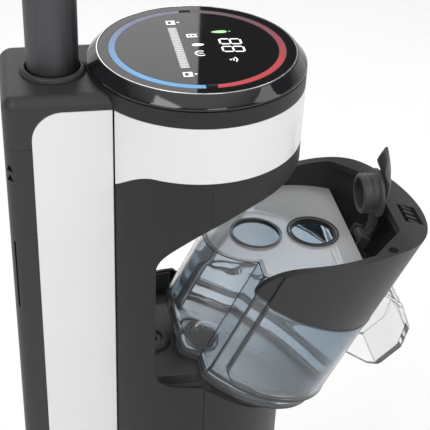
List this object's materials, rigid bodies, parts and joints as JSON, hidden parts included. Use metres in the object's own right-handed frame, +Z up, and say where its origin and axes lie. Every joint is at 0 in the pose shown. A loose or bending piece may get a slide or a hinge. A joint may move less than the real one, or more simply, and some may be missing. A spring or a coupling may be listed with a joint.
{
  "type": "wet dry floor scrubber",
  "caption": "Upright cordless wet and dry floor scrubber with a round display, its clear front water tank tipped out and the filling plug open.",
  "frame": {"origin": "on the floor, in the middle of the machine's footprint, under the axis of the round front column", "axes": "+Z up, -Y to the machine's front where the roller and the tank are, +X to the machine's left"},
  "size_m": [0.268, 0.3126, 1.112],
  "materials": {
    "dark_shell": "fine satin moulded ABS, near black grey",
    "white_gloss": "glossy white lacquered plastic",
    "black_gloss": "polished black bezel",
    "black_glass": "opaque black display glass",
    "led_blue": "lit blue light guide, emissive",
    "led_red": "lit red light guide, emissive",
    "clear_tank": "clear smoke tinted plastic",
    "water": "clean water",
    "rubber": "soft black rubber",
    "grey_rubber": "soft dark grey silicone",
    "tyre": "rubber tread on a plastic hub",
    "nap": "dense microfibre nap",
    "steel": "ground steel",
    "tube": "dark anodised aluminium",
    "motor": "die-cast motor can",
    "inner_plastic": "plain black inner plastic",
    "board": "green circuit board",
    "filter": "pleated filter paper in a foam frame",
    "cells": "shrink-wrapped cells between end caps",
    "button": "satin grey key",
    "float_blue": "hollow float"
  },
  "bodies": {
    "head": {"head_base": "dark_shell", "head_cover": "dark_shell", "brush_window": "clear_tank", "scraper_blade": "inner_plastic", "squeegee": "rubber", "suction_duct": "inner_plastic", "brush_motor": "motor", "wheel_axle": "steel", "wheel_posts": "inner_plastic"},
    "roller": {"brush_roller": "nap", "roller_core": "inner_plastic"},
    "left_wheel": {"wheel_left": "tyre"},
    "right_wheel": {"wheel_right": "tyre"},
    "neck": {"neck_yoke": "dark_shell", "trunnion_pin": "steel"},
    "body": {"swivel_spigot": "inner_plastic", "base_plate": "dark_shell", "front_shell": "dark_shell", "visor_shell": "dark_shell", "rear_shell": "dark_shell", "white_band": "white_gloss", "head_band": "dark_shell", "bezel_ring": "black_gloss", "display_glass": "black_glass", "led_ring_blue": "led_blue", "led_ring_red": "led_red", "display_board": "board", "bay_floor": "dark_shell", "bay_liner": "dark_shell", "water_port": "grey_rubber", "side_panel_left": "white_gloss", "side_panel_right": "white_gloss", "rear_cover": "dark_shell", "spine_cap": "dark_shell", "tube_collar": "dark_shell", "handle_tube": "tube", "battery_pack": "cells", "vacuum_motor": "motor", "exhaust_filter": "filter", "water_pump": "inner_plastic", "grip_left": "dark_shell", "grip_right": "dark_shell"},
    "fan": {"impeller": "inner_plastic"},
    "clean_tank": {"tank_shell": "clear_tank", "tank_plate": "clear_tank", "tank_collar": "dark_shell", "tank_grip": "clear_tank", "tank_water": "water", "fill_gasket": "rubber", "vent_ring": "clear_tank", "strap_root": "grey_rubber"},
    "tank_catch": {"tank_latch": "dark_shell"},
    "plug": {"fill_plug": "grey_rubber"},
    "dirty_tank": {"dirty_tank_shell": "clear_tank", "dirty_tank_lid": "dark_shell"},
    "float": {"float_ball": "float_blue"},
    "dirty_catch": {"dirty_tank_latch": "button"},
    "power_key": {"power_button": "button"},
    "mode_key": {"mode_button": "button"}
  },
  "joints": [
    {"name": "roller_spin", "type": "hinge", "parent": "head", "child": "roller", "pos_m": [0, -0.1, 0.027], "axis": [1, 0, 0], "continuous": true},
    {"name": "left_wheel_spin", "type": "hinge", "parent": "head", "child": "left_wheel", "pos_m": [0.074, 0.072, 0.03], "axis": [1, 0, 0], "continuous": true},
    {"name": "right_wheel_spin", "type": "hinge", "parent": "head", "child": "right_wheel", "pos_m": [-0.074, 0.072, 0.03], "axis": [1, 0, 0], "continuous": true},
    {"name": "neck_tilt", "type": "hinge", "parent": "head", "child": "neck", "pos_m": [0, 0.052, 0.06], "axis": [-1, 0, 0], "range_deg": [0, 75]},
    {"name": "neck_swivel", "type": "hinge", "parent": "neck", "child": "body", "pos_m": [0, 0.052, 0.11], "axis": [0, 0, 1], "range_deg": [-35, 35]},
    {"name": "fan_spin", "type": "hinge", "parent": "body", "child": "fan", "pos_m": [0, -0.01, 0.31], "axis": [0, 0, 1], "continuous": true},
    {"name": "tank_tip", "type": "hinge", "parent": "body", "child": "clean_tank", "pos_m": [0, 0.0193, 0.3371], "axis": [1, 0, 0], "range_deg": [-25.5, 0]},
    {"name": "plug_fold", "type": "hinge", "parent": "clean_tank", "child": "plug", "pos_m": [0, -0.11479, 0.49606], "axis": [1, 0, 0], "range_deg": [-87, 0]},
    {"name": "tank_latch_slide", "type": "slide", "parent": "clean_tank", "child": "tank_catch", "axis": [0, 0.9026, 0.4305], "range_m": [0, 0.002], "stiffness_N_per_m": 300, "springref_m": -0.0005},
    {"name": "dirty_tank_slide", "type": "slide", "parent": "body", "child": "dirty_tank", "axis": [0, -1, 0], "range_m": [0, 0.09]},
    {"name": "float_rise", "type": "slide", "parent": "dirty_tank", "child": "float", "axis": [0, 0, 1], "range_m": [0, 0.04]},
    {"name": "dirty_latch_press", "type": "slide", "parent": "dirty_tank", "child": "dirty_catch", "axis": [0, 1, 0], "range_m": [0, 0.003], "stiffness_N_per_m": 400, "springref_m": -0.0005},
    {"name": "power_press", "type": "slide", "parent": "body", "child": "power_key", "axis": [0, 1, 0], "range_m": [0, 0.0015], "stiffness_N_per_m": 500, "springref_m": -0.0005},
    {"name": "mode_press", "type": "slide", "parent": "body", "child": "mode_key", "axis": [0, 1, 0], "range_m": [0, 0.0015], "stiffness_N_per_m": 500, "springref_m": -0.0005}
  ],
  "couplings": [
    {"joint": "plug_fold", "follows": "tank_tip", "ratio": 3.3961}
  ]
}
